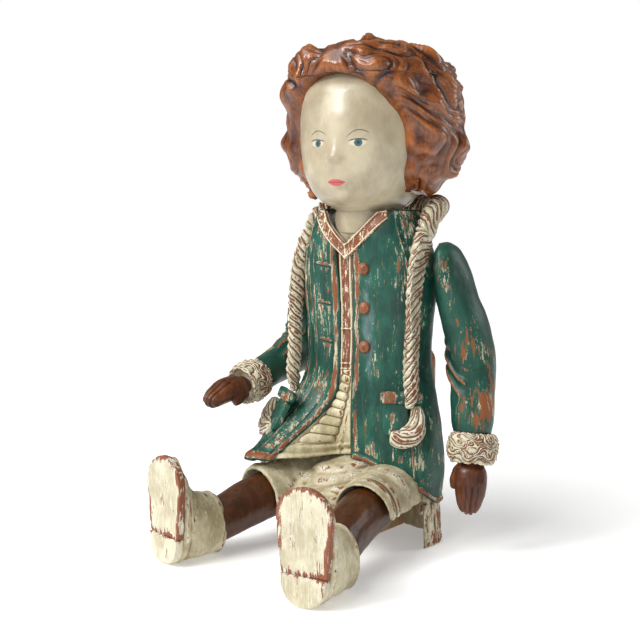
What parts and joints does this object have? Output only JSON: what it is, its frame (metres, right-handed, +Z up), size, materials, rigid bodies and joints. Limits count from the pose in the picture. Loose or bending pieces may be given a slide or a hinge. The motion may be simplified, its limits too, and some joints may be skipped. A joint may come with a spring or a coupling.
{
  "type": "ventriloquist dummy",
  "caption": "Seated carved and painted wooden dummy; its head turns on a stick held through the back, and its arms and legs swing at shoulder and hip.",
  "frame": {"origin": "middle of the seat's flat underside", "axes": "+Z up, -Y the way the figure faces, +X its left side"},
  "size_m": [0.3083, 0.3301, 0.562],
  "materials": {
    "green_paint": "gloss paint worn to gesso and wood",
    "brown_shirt_paint": "worn gloss paint",
    "cream_dress_paint": "distressed cream paint over brown",
    "cream_fur_paint": "distressed cream paint over brown",
    "button_brown": "varnished",
    "face_paint": "satin gloss paint",
    "auburn_hair": "varnished glaze",
    "brown_varnish": "varnished",
    "shoe_paint": "distressed cream paint over red-brown",
    "pale_wood": "bare",
    "turned_wood": "oiled",
    "steel": "turned"
  },
  "bodies": {
    "torso": {"coat_front_left": "green_paint", "coat_front_right": "green_paint", "coat_back": "green_paint", "shirt_front": "brown_shirt_paint", "dress_front": "cream_dress_paint", "skirt": "cream_dress_paint", "shirt_collar": "brown_shirt_paint", "fur_edge_left": "cream_fur_paint", "fur_edge_right": "cream_fur_paint", "fur_collar": "cream_fur_paint", "coat_buttons": "button_brown", "pocket_left": "green_paint", "pocket_right": "green_paint", "pocket_fur_left": "cream_fur_paint", "pocket_fur_right": "cream_fur_paint", "shoulder_board": "pale_wood", "neck_bush": "turned_wood", "seat_block": "pale_wood", "hip_pin_left": "steel", "hip_pin_right": "steel"},
    "head": {"face_shell": "face_paint", "skull_shell": "face_paint", "hair_crown": "auburn_hair", "hair_fall": "auburn_hair", "neck": "face_paint", "head_stick": "pale_wood", "stick_grip": "turned_wood", "stick_stop": "turned_wood", "stick_stop_pin": "steel"},
    "left_arm": {"sleeve_left": "green_paint", "cuff_left": "cream_fur_paint", "hand_left": "brown_varnish", "wrist_dowel_left": "pale_wood", "shoulder_bolt_left": "steel", "shoulder_washer_left": "steel", "shoulder_nut_left": "steel"},
    "left_leg": {"leg_left": "brown_varnish", "shoe_left": "shoe_paint", "sole_left": "shoe_paint", "heel_left": "shoe_paint", "ankle_dowel_left": "pale_wood"},
    "right_arm": {"sleeve_right": "green_paint", "cuff_right": "cream_fur_paint", "hand_right": "brown_varnish", "wrist_dowel_right": "pale_wood", "shoulder_bolt_right": "steel", "shoulder_washer_right": "steel", "shoulder_nut_right": "steel"},
    "right_leg": {"leg_right": "brown_varnish", "shoe_right": "shoe_paint", "sole_right": "shoe_paint", "heel_right": "shoe_paint", "ankle_dowel_right": "pale_wood"}
  },
  "joints": [
    {"name": "head_turn", "type": "hinge", "parent": "torso", "child": "head", "pos_m": [0, -0.017, 0.312], "axis": [0, 0, 1], "range_deg": [-70, 70]},
    {"name": "left_shoulder_swing", "type": "hinge", "parent": "torso", "child": "left_arm", "pos_m": [0.0865, 0.002, 0.308], "axis": [-1, 0, 0], "range_deg": [-30, 150]},
    {"name": "right_shoulder_swing", "type": "hinge", "parent": "torso", "child": "right_arm", "pos_m": [-0.0865, 0.002, 0.308], "axis": [-1, 0, 0], "range_deg": [0, 110]},
    {"name": "left_hip_swing", "type": "hinge", "parent": "torso", "child": "left_leg", "pos_m": [0.046, 0, 0.066], "axis": [0.9848, 0.1736, 0], "range_deg": [0, 75]},
    {"name": "right_hip_swing", "type": "hinge", "parent": "torso", "child": "right_leg", "pos_m": [-0.046, 0, 0.066], "axis": [0.9848, -0.1736, 0], "range_deg": [0, 75]}
  ]
}
